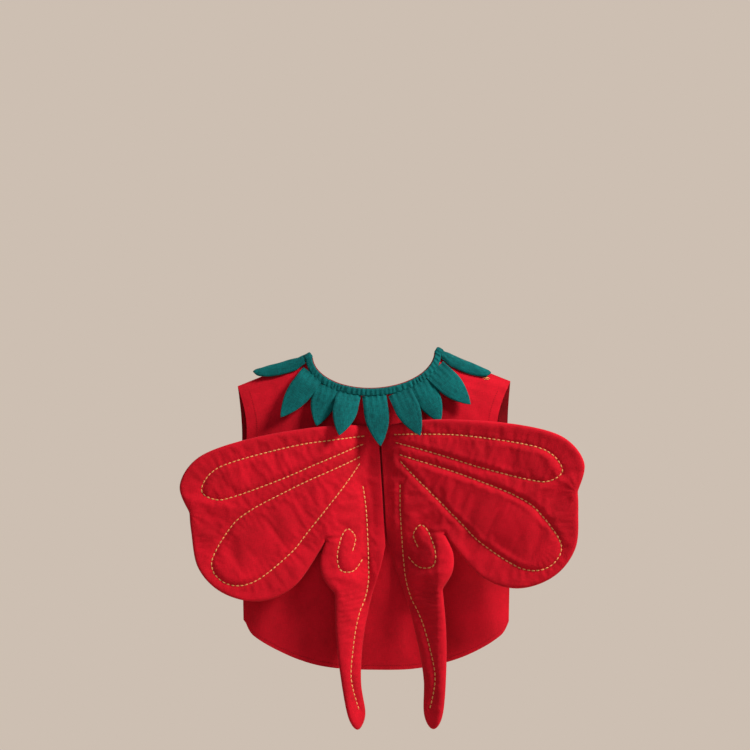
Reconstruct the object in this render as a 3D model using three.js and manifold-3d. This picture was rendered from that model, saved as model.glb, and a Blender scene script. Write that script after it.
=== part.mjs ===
// A child's winged fancy-dress tunic: a sleeveless red cape-tunic with an elastic green
// leaf collar and two quilted wings with long tails on its back.
// Millimetres, +Z up. The back of the garment faces -Y, the wearer's front faces +Y.
// The origin is in the fold of the shoulders, at the middle of the neck opening.

import * as THREE from "three";
import { mergeVertices } from "three/addons/utils/BufferGeometryUtils.js";
import Module from "manifold-3d";

const wasm = await Module();
wasm.setup();

// ---------------------------------------------------------------- driving dimensions

const cloth = 1.6;            // a lined cotton panel
const gap = 0.3;              // air between pieces that lie on each other
const seatGap = 1.1;          // the same where a strip lies on a curved panel
const bagDepth = 19;          // how far each panel bellies out from the fold plane
const seamAllowance = 2.6;    // half the distance between the panels at a seam
const backY = -(bagDepth + seamAllowance);      // middle of the back panel where it hangs flat

const neck = { half: 88, topLeft: -6, topRight: 1, backDrop: 50, frontDrop: 82 };
const shoulder = { tipX: 193, slope: 0.4 };
const side = { hemX: 185, armholeBottom: -172, backScoop: 10, frontScoop: 3 };
const hem = { z: -445, rise: 54, power: 2.6 };
const lean = { shift: -5, depth: 260 };      // the top hangs a little to the left

// The panels bulge out below the shoulders over "reach"; above the armholes' lower ends
// they close towards the edges only by the share "open", which fades in over "fade".
const bulge = { reach: 85, open: 0.45, fade: 70 };

const band = { above: 1, height: 11, thick: 2.6 };
const elastic = { below: 2, height: 6, thick: 0.8 };
const facing = { above: 2.5, neck: 13, armhole: 13, thick: 0.8, endInset: 0.02 };
const armholeFacing = { topInset: 5, bottomInset: 8 };

const leaf = { rootWidth: 24, width: 36, tipWidth: 2.5, thick: 2.4, rootDown: 9 };
const leafShape = { widestAt: 0.66, taperFrom: 0.3, bluntness: 0.8, liftPower: 1.2 };
const leafFan = { turnStep: 0.125, frontReach: 72, frontDegrees: 13, frontTipOut: 16, under: 3 };
const leafOverShoulder = { lift: 4.5, rootGap: 2, archRadius: 17, lean: 0.72 };

const seamX = 8;                              // the wings' seam on the back panel
const skin = 0.8;                             // one layer of wing cotton
const wadding = 6;
const wingSurfaceY = backY - 6;               // outer face of the wings at their seam
const rollPivotZ = -190;
const tape = { half: 2.6, top: -108, bottom: -262 };
const threadWidth = 1.2;
const threadStep = 13;
const wingBend = { rise: 10, steps: 60 };     // the rise beside the seam, and the walk along it
const padding = { tailStart: 4, blend: 60, ramp: 12, inset: 3, wingFrom: 8, tailFrom: 10 };

// How each wing hangs: a flat strip beside the seam, then a rise, then a slow roll out.
const leftHang = { side: -1, roll: -3.5, strip: 20, first: 4, rise: 34, end: 2, rollOut: 75 };
const rightHang = { side: 1, roll: 3.5, strip: 10, first: 8, rise: 46, end: 14, rollOut: 60 };

// The lower wing and tail stand off the panel: from z "start" over "depth", by "out",
// and below the hip they lean out by a further share of their length.
const standOff = { start: -260, depth: 70, out: 6, hip: -331, lean: 0.1 };

// ---------------------------------------------------------------- colours

const finishes = {
  red: { color: "#b5182a", roughness: 0.85 },
  redInside: { color: "#8b1518", roughness: 0.9 },
  green: { color: "#0e5f58", roughness: 0.9 },
  gold: { color: "#e8a55a", roughness: 0.6 },
  wadding: { color: "#efece4", roughness: 1 },
  elastic: { color: "#f3f1ec", roughness: 0.8 },
};

const model = new THREE.Group();

function addPiece(name, geometry, finish) {
  const material = new THREE.MeshStandardMaterial({ ...finishes[finish], metalness: 0 });
  const mesh = new THREE.Mesh(geometry, material);
  mesh.name = name;
  model.add(mesh);
}

// ---------------------------------------------------------------- shared geometry

const clamp01 = (t) => Math.min(1, Math.max(0, t));
const smooth = (t) => clamp01(t) ** 2 * (3 - 2 * clamp01(t));
const mix = (a, b, t) => a + (b - a) * t;
const radians = (degrees) => THREE.MathUtils.degToRad(degrees);

// A box of the given segments whose unit cube (u, v, w) is carried to space by place.
function bentBox(segments, place) {
  const geometry = new THREE.BoxGeometry(1, 1, 1, ...segments);
  const position = geometry.attributes.position;
  for (let i = 0; i < position.count; i += 1) {
    const [u, v, w] = [position.getX(i), position.getY(i), position.getZ(i)];
    const point = place(u + 0.5, v + 0.5, w + 0.5);
    position.setXYZ(i, point.x, point.y, point.z);
  }
  geometry.computeVertexNormals();
  return geometry;
}

function toManifold(geometry) {
  const bare = geometry.clone();
  bare.deleteAttribute("normal");
  bare.deleteAttribute("uv");
  const merged = mergeVertices(bare, 1e-4);
  const vertProperties = new Float32Array(merged.attributes.position.array);
  const triVerts = new Uint32Array(merged.index.array);
  return new wasm.Manifold(new wasm.Mesh({ numProp: 3, vertProperties, triVerts }));
}

function fromManifold(solid) {
  const mesh = solid.getMesh();
  const geometry = new THREE.BufferGeometry();
  geometry.setAttribute("position", new THREE.BufferAttribute(mesh.vertProperties, 3));
  geometry.setIndex(new THREE.BufferAttribute(mesh.triVerts, 1));
  geometry.computeVertexNormals();
  return geometry;
}

// ---------------------------------------------------------------- tunic surface

const neckTop = (x) => mix(neck.topLeft, neck.topRight, clamp01((x / neck.half + 1) / 2));
const shoulderZ = (x) => neckTop(x) - shoulder.slope * (Math.abs(x) - neck.half);
const hemZ = (x) => hem.z + hem.rise * Math.abs(x / side.hemX) ** hem.power;
const topShift = (z) => lean.shift * clamp01((z + lean.depth) / lean.depth);

// Half width of a panel at height z: armhole above, side seam below.
function edgeX(z, scoop) {
  const tipZ = shoulderZ(shoulder.tipX);
  const down = clamp01((tipZ - z) / (tipZ - side.armholeBottom));
  const straight = mix(shoulder.tipX, side.hemX, clamp01((tipZ - z) / (tipZ - hem.z)));
  return straight - scoop * Math.sin(Math.PI * down);
}

// How far a panel's middle surface lies from the fold plane.
function belly(x, z) {
  const fall = Math.sin((Math.PI / 2) * clamp01((shoulderZ(x) - z) / bulge.reach));
  const closed = mix(1, bulge.open, smooth((z - side.armholeBottom) / bulge.fade));
  const across = 1 - closed * clamp01(Math.abs(x) / shoulder.tipX) ** 3;
  return bagDepth * fall * across + seamAllowance;
}

// A point on a panel: face -1 is the back and +1 the front, out is away from the body.
function onPanel(face, x, z, out = 0) {
  return new THREE.Vector3(x + topShift(z), face * (belly(x, z) + out), z);
}

const neckDrop = (face) => (face < 0 ? neck.backDrop : neck.frontDrop);
const neckEndTurn = 0.007;      // turns the strips at the neck's ends down with the shoulders

// The neck edge: turn runs from 0 at the right shoulder to 1 at the left shoulder.
function neckEdge(face, turn) {
  const angle = Math.PI * turn;
  const x = neck.half * Math.cos(angle);
  const z = neckTop(x) - neckDrop(face) * Math.sin(angle);
  const away = new THREE.Vector2(
    Math.cos(angle) / neck.half,
    -Math.sin(angle) / neckDrop(face) - neckEndTurn * Math.abs(Math.cos(angle)),
  );
  return { x, z, away: away.normalize() };
}

// ---------------------------------------------------------------- panels

const shoulderShare = 0.2;      // of the columns lie along each shoulder

// Columns run from the left edge to the right: shoulder, neck, shoulder.
function panelTop(face, column) {
  if (column < shoulderShare || column > 1 - shoulderShare) {
    const share = Math.min(column, 1 - column) / shoulderShare;
    const x = Math.sign(column - 0.5) * mix(shoulder.tipX, neck.half, share);
    return { x, z: shoulderZ(x) };
  }
  return neckEdge(face, 1 - (column - shoulderShare) / (1 - 2 * shoulderShare));
}

// Rows crowd towards the top edge, where the surface bends most.
const rowCrowding = 1.8;

function panel(face, scoop) {
  return bentBox([20, 1, 12], (u, v, w) => {
    const top = panelTop(face, face < 0 ? u : 1 - u);
    const share = top.x / edgeX(top.z, scoop);
    const z = mix(top.z, hemZ(share * side.hemX), (1 - w) ** rowCrowding);
    return onPanel(face, share * edgeX(z, scoop), z, (0.5 - v) * cloth);
  });
}

// ---------------------------------------------------------------- collar and facings

// A strip beside the neck edge, from "from" to "to" away from the edge.
function neckStrip(face, { from, to, inner, outer, margin = 0 }) {
  return bentBox([24, 1, 2], (u, v, w) => {
    const turn = mix(margin, 1 - margin, face < 0 ? 1 - u : u);
    const edge = neckEdge(face, turn);
    const reach = mix(to, from, w);
    const x = edge.x + edge.away.x * reach;
    const z = edge.z + edge.away.y * reach;
    return onPanel(face, x, z, mix(outer, inner, v));
  });
}

function armholeStrip(face, hand, scoop) {
  const top = shoulderZ(hand * shoulder.tipX) - armholeFacing.topInset;
  const bottom = side.armholeBottom + armholeFacing.bottomInset;
  return bentBox([1, 1, 8], (u, v, w) => {
    const z = mix(bottom, top, w);
    const across = face * hand < 0 ? u : 1 - u;
    const x = hand * (edgeX(z, scoop) - facing.armhole * (1 - across));
    return onPanel(face, x, z, -cloth / 2 - seatGap - gap - v * facing.thick);
  });
}

function addTunic() {
  const liningOuter = -cloth / 2 - seatGap;
  const elasticInner = cloth / 2 + seatGap;
  const bandInner = elasticInner + elastic.thick + gap;
  for (const [face, label, scoop] of [[-1, "back", side.backScoop], [1, "front", side.frontScoop]]) {
    addPiece(`${label}_panel`, panel(face, scoop), "red");
    addPiece(`neck_facing_${label}`, neckStrip(face, {
      from: -facing.above,
      to: facing.neck,
      inner: liningOuter - facing.thick,
      outer: liningOuter,
      margin: facing.endInset,
    }), "redInside");
    addPiece(`neck_elastic_${label}`, neckStrip(face, {
      from: elastic.below,
      to: elastic.below + elastic.height,
      inner: elasticInner,
      outer: elasticInner + elastic.thick,
    }), "elastic");
    addPiece(`collar_band_${label}`, neckStrip(face, {
      from: -band.above,
      to: band.height,
      inner: bandInner,
      outer: bandInner + band.thick,
    }), "green");
    for (const [hand, handLabel] of [[-1, "left"], [1, "right"]]) {
      addPiece(`armhole_facing_${handLabel}_${label}`, armholeStrip(face, hand, scoop), "redInside");
    }
  }
}

// ---------------------------------------------------------------- leaves

// Half width of a leaf at a share of its length from the root.
function leafHalfWidth(share) {
  const { widestAt, taperFrom, bluntness } = leafShape;
  const swell = Math.sin((Math.PI / 2) * clamp01(share / widestAt)) * (leaf.width - leaf.rootWidth);
  const taper = Math.cos((Math.PI / 2) * clamp01((share - taperFrom) / (1 - taperFrom))) ** bluntness;
  return Math.max(leaf.tipWidth, (leaf.rootWidth + swell) * taper) / 2;
}

const leafInner = cloth / 2 + seatGap + elastic.thick + gap + band.thick + gap + leaf.thick / 2;

// A leaf that hangs from the collar over a panel: turn places its root on the neck edge,
// tip is its point as x and z, and tipOut is how far the point stands off the panel.
function hangingLeaf(face, { turn, tip, tipOut, layer }) {
  const edge = neckEdge(face, turn);
  const rootX = edge.x + edge.away.x * leaf.rootDown;
  const rootZ = edge.z + edge.away.y * leaf.rootDown;
  const root = onPanel(face, rootX, rootZ);
  const down = new THREE.Vector2(tip[0] - root.x, tip[1] - root.z);
  const length = down.length();
  down.normalize();
  const rootOut = leafInner + layer;
  return bentBox([2, 1, 6], (u, v, w) => {
    const share = 1 - w;
    const across = (face < 0 ? u - 0.5 : 0.5 - u) * 2 * leafHalfWidth(share);
    const along = share * length;
    const x = root.x + down.x * along - down.y * across;
    const z = root.z + down.y * along + down.x * across;
    const lift = mix(rootOut, tipOut, share ** leafShape.liftPower) + (0.5 - v) * leaf.thick;
    return onPanel(face, x - topShift(z), z, lift);
  });
}

// A leaf that lies over the shoulder, arched across the fold.
function shoulderLeaf(hand, { length, slope }) {
  const { lift, rootGap, archRadius, lean: tilt } = leafOverShoulder;
  const rootX = neck.half + leaf.rootDown + rootGap;
  return bentBox([6, 4, 1], (u, v, w) => {
    const share = hand < 0 ? 1 - u : u;
    const across = (v - 0.5) * 2 * leafHalfWidth(share);
    const ridge = shoulderZ(hand * rootX) + lift - slope * share * length;
    const z = ridge - across ** 2 / (2 * archRadius) + (w - 0.5) * leaf.thick;
    return new THREE.Vector3(hand * (rootX + share * length) + lean.shift, across * tilt, z);
  });
}

// Back leaves from the right shoulder to the left one. Every other one lies over its
// neighbours by its layer.
const backLeaves = [
  { tip: [130, -73], tipOut: 18, layer: 3 },
  { tip: [88, -98], tipOut: 17, layer: 0 },
  { tip: [59, -115], tipOut: 46, layer: 3 },
  { tip: [5, -130], tipOut: 34, layer: 0 },
  { tip: [-52, -115], tipOut: 36, layer: 3 },
  { tip: [-84, -103], tipOut: 17, layer: 0 },
  { tip: [-134, -91], tipOut: 18, layer: 3 },
];

function addLeaves() {
  const middle = (backLeaves.length - 1) / 2;
  backLeaves.forEach((pose, index) => {
    const turn = 0.5 + (index - middle) * leafFan.turnStep;
    addPiece(`leaf_back_${index + 1}`, hangingLeaf(-1, { ...pose, turn }), "green");
  });
  for (let index = 0; index < backLeaves.length; index += 1) {
    const turn = 0.5 + (index - middle) * leafFan.turnStep;
    const edge = neckEdge(1, turn);
    const fan = radians((index - middle) * leafFan.frontDegrees);
    const tip = [
      edge.x - Math.sin(fan) * leafFan.frontReach + lean.shift,
      edge.z - Math.cos(fan) * leafFan.frontReach,
    ];
    const layer = index % 2 ? 0 : leafFan.under;
    const shape = hangingLeaf(1, { turn, tip, tipOut: leafFan.frontTipOut, layer });
    addPiece(`leaf_front_${index + 1}`, shape, "green");
  }
  addPiece("leaf_shoulder_left", shoulderLeaf(-1, { length: 74, slope: 0.28 }), "green");
  addPiece("leaf_shoulder_right", shoulderLeaf(1, { length: 70, slope: 0.42 }), "green");
}

// ---------------------------------------------------------------- wings

// The wing as cut, flat: u runs out from the seam and v is height. Each stretch is a
// smooth curve through its points, and stretches meet in corners.
const wingOutline = [
  [[1, -106], [60, -101], [136, -104], [210, -114], [260, -133], [284, -168], [273, -206]],
  [[273, -206], [272, -231], [265, -282], [232, -319], [180, -333], [131, -313], [87, -256]],
  [[87, -256], [96, -280], [80, -328]],
  [[80, -328], [22, -331]],
  [[22, -331], [10, -300], [1, -270]],
  [[1, -270], [1, -106]],
];
const tailOutline = [
  [[22, -332.2], [80, -329.2]],
  [
    [80, -329.2], [80, -392], [75, -455], [67, -500], [53, -517],
    [42, -498], [44, -445], [34, -375], [22, -332.2],
  ],
];

const upperLoop = [
  [20, -116], [70, -118], [125, -123], [207, -139], [240, -153], [254, -176], [238, -189],
  [213, -188], [145, -168], [95, -150], [50, -135], [22, -127],
];
const lowerLoop = [
  [28, -144], [99, -169], [150, -190], [189, -208], [217, -229], [246, -276], [228, -305],
  [190, -306], [138, -271], [110, -241], [77, -205], [50, -176], [29, -153],
];
const spiral = [
  [49, -274], [43, -256], [53, -243], [63, -250], [72, -277], [68, -298], [48, -300], [33, -286],
];
const stemLine = [[27, -185], [25, -216], [25, -245], [26, -290], [28, -318]];
const tailLine = [[34, -342], [43, -361], [51, -385], [60, -430], [60, -456], [51, -490]];

// Angle of a hanging wing to the panel at a distance from the seam, in radians.
function wingAngle(hang, u) {
  const rise = smooth((u - hang.strip) / wingBend.rise);
  const fall = smooth((u - hang.strip) / hang.rollOut);
  return radians(mix(hang.first, mix(hang.rise, hang.end, fall), rise));
}

// The wing's section, walked out from the seam: across and outward distance, and angle.
function wingSection(hang, u) {
  const step = u / wingBend.steps;
  let across = 0;
  let outward = 0;
  for (let i = 0; i < wingBend.steps; i += 1) {
    const angle = wingAngle(hang, step * (i + 0.5));
    across += Math.cos(angle) * step;
    outward += Math.sin(angle) * step;
  }
  return { across, outward, angle: wingAngle(hang, u) };
}

// Flat cut to hanging sheet: the whole wing rolls a little about its seam.
function rolled(hang, [u, v]) {
  const roll = radians(hang.roll);
  const high = v - rollPivotZ;
  return [
    u * Math.cos(roll) - high * Math.sin(roll),
    rollPivotZ + u * Math.sin(roll) + high * Math.cos(roll),
  ];
}

// A point of the hanging sheet, "deep" below its outer face.
function onWing(hang, u, z, deep = 0) {
  const { across, outward, angle } = wingSection(hang, u);
  const off = standOff.out * smooth((standOff.start - z) / standOff.depth)
    + standOff.lean * Math.max(0, standOff.hip - z);
  return new THREE.Vector3(
    seamX + hang.side * (across + Math.sin(angle) * deep),
    wingSurfaceY - outward - off + Math.cos(angle) * deep,
    z,
  );
}

// The wadding thins to nothing towards the seam, and is full on the free tail.
function waddingDepth(hang, u, z) {
  const flat = mix(hang.strip, padding.tailStart, smooth((standOff.start - z) / padding.blend));
  return (wadding + 2 * gap) * smooth((u - flat) / padding.ramp);
}

function sampleOutline(stretches) {
  return stretches.flatMap((points) => {
    const ends = points.map(([u, v]) => new THREE.Vector2(u, v));
    if (ends.length === 2) {
      return ends.slice(0, 1);
    }
    return new THREE.SplineCurve(ends).getPoints(ends.length * 2).slice(0, -1);
  });
}

// Moves each point of a closed outline inwards.
function insetOutline(points, distance) {
  return points.map((point, i) => {
    const before = points[(i + points.length - 1) % points.length];
    const after = points[(i + 1) % points.length];
    const along = after.clone().sub(before).normalize();
    const turned = THREE.ShapeUtils.area(points) > 0 ? 1 : -1;
    return new THREE.Vector2(
      point.x - along.y * distance * turned,
      point.y + along.x * distance * turned,
    );
  });
}

// A straight cutter through the panel's depth with the outline's hanging shape.
function outlineCutter(hang, outline) {
  const placed = outline.map((point) => {
    const [u, v] = rolled(hang, [point.x, point.y]);
    const { across } = wingSection(hang, Math.max(u, 0));
    return new THREE.Vector2(seamX + hang.side * (u > 0 ? across : u), v);
  });
  const shape = new THREE.Shape(placed);
  const depth = 400;
  const geometry = new THREE.ExtrudeGeometry(shape, { depth, bevelEnabled: false });
  geometry.rotateX(Math.PI / 2);
  geometry.translate(0, depth / 4, 0);
  return toManifold(geometry);
}

// One layer of the sheet between two depths below its outer face, on a grid of the given
// distances from the seam and heights.
function layerSlab(hang, { columns, rows, near, far }) {
  return bentBox([columns.length - 1, 1, rows.length - 1], (u, v, w) => {
    const column = Math.round(u * (columns.length - 1));
    const out = columns[hang.side > 0 ? column : columns.length - 1 - column];
    const z = rows[Math.round(w * (rows.length - 1))];
    return onWing(hang, out, z, mix(near(out, z), far(out, z), v));
  });
}

function cutLayer(hang, outline, slab) {
  return fromManifold(toManifold(layerSlab(hang, slab)).intersect(outlineCutter(hang, outline)));
}

function addQuilted(name, hang, outline, grid) {
  const flat = sampleOutline(outline);
  const padStart = skin + gap;
  const padEnd = (u, z) => padStart + waddingDepth(hang, u, z);
  addPiece(`${name}_outer`, cutLayer(hang, flat, { ...grid, near: () => 0, far: () => skin }), "red");
  addPiece(`${name}_backing`, cutLayer(hang, flat, {
    ...grid, near: padEnd, far: (u, z) => padEnd(u, z) + skin,
  }), "red");
  addPiece(`${name}_batting`, cutLayer(hang, insetOutline(flat, padding.inset), {
    ...grid,
    columns: grid.columns.filter((u) => u >= grid.padFrom),
    near: () => padStart,
    far: (u, z) => padEnd(u, z) - 2 * gap,
  }), "wadding");
}

// A line of gold thread that lies on the wing's outer face.
function thread(hang, points) {
  const flat = new THREE.SplineCurve(points.map(([u, v]) => new THREE.Vector2(u, v)));
  const path = flat.getSpacedPoints(Math.round(flat.getLength() / threadStep)).map((point) => {
    const [u, z] = rolled(hang, [point.x, point.y]);
    return onWing(hang, u, z, -threadWidth / 2 - 2 * gap);
  });
  const curve = new THREE.CatmullRomCurve3(path);
  const half = threadWidth / 2;
  const section = new THREE.Shape([[-half, -half], [half, -half], [half, half], [-half, half]]
    .map(([x, y]) => new THREE.Vector2(x, y)));
  return new THREE.ExtrudeGeometry(section, {
    extrudePath: curve,
    steps: path.length - 1,
    bevelEnabled: false,
  });
}

// Grid lines of the sheet: distances past the flat strip, heights, and outer limits.
const bendSteps = [0, 4, 8, 12, 18, 25, 33, 42, 52, 64, 76];
const gridRows = [-540, -440, -400, -360, -346, -331, -318, -306, -295, -285, -274, -260, -60];
const gridLimits = { first: 0.5, wingLast: 310, tailLast: 110, wingBottom: -360, tailTop: -285 };

function addWing(label, hang) {
  const bends = bendSteps.map((step) => hang.strip + step);
  const tailBends = bends.filter((u) => u > padding.tailFrom && u < gridLimits.tailLast);
  addQuilted(`wing_${label}`, hang, wingOutline, {
    columns: [gridLimits.first, ...bends, gridLimits.wingLast],
    rows: gridRows.filter((z) => z >= gridLimits.wingBottom),
    padFrom: hang.strip + padding.wingFrom,
  });
  addQuilted(`tail_${label}`, hang, tailOutline, {
    columns: [gridLimits.first, padding.tailFrom, ...tailBends],
    rows: gridRows.filter((z) => z <= gridLimits.tailTop),
    padFrom: padding.tailFrom,
  });
  addPiece(`thread_${label}_upper_loop`, thread(hang, upperLoop), "gold");
  addPiece(`thread_${label}_lower_loop`, thread(hang, lowerLoop), "gold");
  addPiece(`thread_${label}_spiral`, thread(hang, spiral), "gold");
  addPiece(`thread_${label}_stem`, thread(hang, stemLine), "gold");
  addPiece(`thread_${label}_tail`, thread(hang, tailLine), "gold");
}

function addWingTape() {
  addPiece("wing_seam_tape", bentBox([1, 1, 1], (u, v, w) => new THREE.Vector3(
    seamX + mix(-tape.half, tape.half, u),
    mix(wingSurfaceY + 2 * skin + 3 * gap, backY - cloth / 2 - gap, v),
    mix(tape.bottom, tape.top, w),
  )), "red");
}

addTunic();
addLeaves();
addWingTape();
addWing("left", leftHang);
addWing("right", rightHang);

export default model;
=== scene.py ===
"""A child's winged costume tunic: woven cotton, a gathered leaf collar and quilted wings."""

import math

import bmesh
import bpy
import numpy as np
from bpy.props import FloatProperty, FloatVectorProperty, PointerProperty
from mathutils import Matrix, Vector, noise
from mathutils.bvhtree import BVHTree
from mathutils.geometry import delaunay_2d_cdt
from mathutils.kdtree import KDTree


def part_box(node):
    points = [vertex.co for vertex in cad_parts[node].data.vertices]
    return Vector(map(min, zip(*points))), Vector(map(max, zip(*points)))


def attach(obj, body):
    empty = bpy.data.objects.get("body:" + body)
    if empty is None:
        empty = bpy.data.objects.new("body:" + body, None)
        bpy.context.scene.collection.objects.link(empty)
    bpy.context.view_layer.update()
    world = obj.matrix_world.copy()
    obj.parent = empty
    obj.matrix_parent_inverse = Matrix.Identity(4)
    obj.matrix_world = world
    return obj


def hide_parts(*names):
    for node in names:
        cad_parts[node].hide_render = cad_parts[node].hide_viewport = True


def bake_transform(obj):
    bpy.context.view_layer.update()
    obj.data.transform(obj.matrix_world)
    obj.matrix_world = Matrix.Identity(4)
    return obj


bl_info = {
    "name": "Winged costume tunic",
    "version": (1, 0, 0),
    "blender": (4, 5, 0),
    "location": "3D View > Sidebar > Tunic",
    "description": "Makes the cotton, leaves, quilted wings and stitches of a costume tunic",
    "category": "Object",
}

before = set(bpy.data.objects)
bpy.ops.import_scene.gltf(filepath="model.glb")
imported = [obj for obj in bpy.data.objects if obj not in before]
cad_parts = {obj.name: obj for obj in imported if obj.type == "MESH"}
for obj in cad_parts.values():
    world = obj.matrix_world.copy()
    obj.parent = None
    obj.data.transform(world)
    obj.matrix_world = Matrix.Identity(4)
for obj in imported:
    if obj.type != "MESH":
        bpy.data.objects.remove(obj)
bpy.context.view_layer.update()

MM = 0.001
CLOTH_MAP = "Cloth"

# ------------------------------------------------------------------ the cut, in millimetres

CLOTH = 1.6
# Heights of the neck's ends and drops of its front and back, from the fold of the shoulders.
NECK = {"half": 88, "top_left": -6, "top_right": 1, "back_drop": 50, "front_drop": 82}
SHOULDER = {"tip": 193, "slope": 0.4}
SIDE = {"hem": 185, "armhole_bottom": -172}
# How far the left and the right armhole are cut in: back panel, then front panel.
SCOOPS = {-1: (14, 20), 1: (3, 3)}
# The hem's height at the middle, how far it curves up to the sides, and its small corners.
HEM = {"z": -445, "rise": 54, "power": 2.6, "corner": 11, "corner_x": 172}
# The shoulders hang a little to the left of the hem.
LEAN = {"shift": -5, "depth": 260}
# How far a panel stands off the middle plane, and where it closes to the side seam.
BULGE = {"depth": 19, "seam": 2.6, "reach": 85, "open": 0.45, "fade": 70}
BACK_Y = -(BULGE["depth"] + BULGE["seam"])
# How far in a panel lies where it is sewn to the other one.
SEWN_IN = {"depth": 2.35, "reach": 14}
# The front and the left wing are cut from other parts of the same cloth.
FRONT_CLOTH = 700
LEFT_CLOTH = 400

# The casing's half height, its middle's reach from the neck edge and height over the panel, its
# half thickness over and under that middle, the pitch of its pleats and the points round it.
CASING = {"tall": 5.3, "reach": 3.7, "over": 5.4, "outer": 2.6, "inner": 4.3, "pleat": 6.4, "ring": 26}
LEAF = {"root": 32, "width": 36, "tip": 2.5, "root_down": 9}
LEAF_INNER = 7.1
# How far a hanging leaf runs on under the casing, as a share of its length.
LEAF_UNDER = 0.022
# A leaf whose tip stands out further than this is pushed up by a wing, and rises from its root.
PUSHED_UP = 30
# Each back leaf from right to left: its tip, how far the tip stands out, and its layer.
BACK_LEAVES = [
    ((130, -73), 18, 3),
    ((88, -98), 17, 0),
    ((59, -115), 51, 3),
    ((5, -130), 34, 0),
    ((-52, -115), 41, 3),
    ((-84, -103), 17, 0),
    ((-134, -91), 18, 3),
]
LEAF_TURN = 0.125
FRONT_LEAF = {"reach": 72, "degrees": 13, "tip_out": 16, "under": 3}
SHOULDER_LEAF = {"lift": 5.0, "gap": 0.5, "arch": 8.5, "back": 5}

SEAM_X = 8
WING_Y = BACK_Y - 6
ROLL_PIVOT = -190
# How a wing hangs: its droop in its own plane; the narrow strip by the seam and its slope; the
# steepest and the last slope outwards, and the width of the change; the width of the ridge at
# the seam; and the twist of the hip and tail about an upright line. Degrees and millimetres.
HANGS = {
    "left": {"side": -1, "roll": -3.5, "strip": 20, "first": 1, "rise": 36, "end": 2, "roll_out": 75,
             "ridge": 22, "tail_turn": -12, "tail_line": 78},
    "right": {"side": 1, "roll": 3.5, "strip": 2, "first": 18, "rise": 38, "end": 14, "roll_out": 60,
              "ridge": 60, "tail_turn": 27, "tail_line": 57},
}
RIDGE_OUT = 4.0
# How far the hip and the tail stand off the tunic.
STAND_OFF = {"start": -260, "depth": 70, "out": 6, "hip": -331, "lean": 0.1}
# Thickness of the wadding where it is full, and of the two skins with none between them.
WADDING = 6.6
SKINS = 1.9

# The edge of the flat cut, in pieces that meet at corners: from the top of the seam round the
# wing to its notch, to the inner corner, round the hip, down the tail and up the seam.
WING_CUT = [
    [(1, -104), (60, -98), (136, -102), (210, -114), (260, -133), (284, -168), (273, -206)],
    [(273, -206), (272, -231), (265, -282), (232, -319), (180, -333), (131, -313), (87, -256)],
    [(87, -256), (97, -283), (94, -308), (79, -329)],
    [
        (79, -329), (80, -392), (75, -455), (67, -500), (53, -517), (42, -498),
        (44, -445), (34, -375), (22, -332), (10, -300), (1, -270),
    ],
    [(1, -270), (1, -104)],
]
STITCH_LINES = {
    "upper_loop": [
        (20, -116), (70, -118), (125, -123), (207, -139), (240, -153), (254, -176),
        (238, -189), (213, -188), (145, -168), (95, -150), (50, -135), (22, -127),
    ],
    "lower_loop": [
        (28, -144), (99, -169), (150, -190), (189, -208), (217, -229), (246, -276), (228, -305),
        (190, -306), (138, -271), (110, -241), (77, -205), (50, -176), (29, -153),
    ],
    "spiral": [
        (49, -274), (43, -256), (53, -243), (63, -250), (72, -277), (68, -298), (48, -300),
        (33, -286),
    ],
    "stem": [
        (27, -185), (25, -216), (25, -245), (26, -290), (28, -318), (34, -342), (43, -361),
        (51, -385), (60, -430), (60, -456), (51, -490),
    ],
}
NOTCH = (273, -206)
INNER_CORNER = (87, -256)
PUCKER_PITCH = 9.0
SIM_FRAMES = 20
# A gold stitch's path is followed at this spacing.
STITCH_STEP = 0.25
# Sections along a surface stitch, and points round each.
SURFACE_STITCH = (9, 8)

FLOOR = {"radius": 2.6, "z": -1.3, "light": 1.3, "shade": 1.2}
LAMPS_AIM = (0, 0, -0.22)


# ------------------------------------------------------------------ small tools


def clamp01(t):
    return np.clip(t, 0, 1)


def smooth(t):
    t = clamp01(t)
    return t * t * (3 - 2 * t)


def mix(a, b, t):
    return a + (b - a) * t


def ripple(points, size, seed=0.0):
    """Smooth noise of about -1 to 1 at each point, with features of that size."""
    flat = np.asarray(points, float).reshape(-1, np.shape(points)[-1]) / size
    if flat.shape[1] == 2:
        flat = np.column_stack([flat, np.zeros(len(flat))])
    values = [noise.noise(Vector((x + seed, y - seed, z + 2 * seed))) for x, y, z in flat]
    return np.array(values).reshape(np.shape(points)[:-1])


def catmull(points, spacing):
    """A smooth curve through the points, as points an even spacing apart."""
    p = np.asarray(points, float)
    t = np.linspace(0, 1, 40, endpoint=False)[:, None]
    parts = []
    for i in range(len(p) - 1):
        before, start, end, after = p[max(i - 1, 0)], p[i], p[i + 1], p[min(i + 2, len(p) - 1)]
        v0, v1 = (end - before) / 2, (after - start) / 2
        cubic = 2 * start - 2 * end + v0 + v1
        square = -3 * start + 3 * end - 2 * v0 - v1
        parts.append(cubic * t**3 + square * t**2 + v0 * t + start)
    path = np.vstack(parts + [p[-1:]])
    return evenly(path, spacing)


def evenly(path, spacing):
    """The same line with its points an even spacing apart."""
    steps = np.linalg.norm(np.diff(path, axis=0), axis=1)
    along = np.concatenate([[0], np.cumsum(steps)])
    count = max(2, int(round(along[-1] / spacing)) + 1)
    want = np.linspace(0, along[-1], count)
    return np.column_stack([np.interp(want, along, path[:, k]) for k in range(path.shape[1])])


def nearest(points, line):
    """Each point's distance to a line of points, and the index of the nearest one."""
    tree = KDTree(len(line))
    for number, (x, y) in enumerate(line):
        tree.insert((x, y, 0), number)
    tree.balance()
    found = [tree.find((x, y, 0)) for x, y in points]
    return np.array([f[2] for f in found]), np.array([f[1] for f in found])


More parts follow.
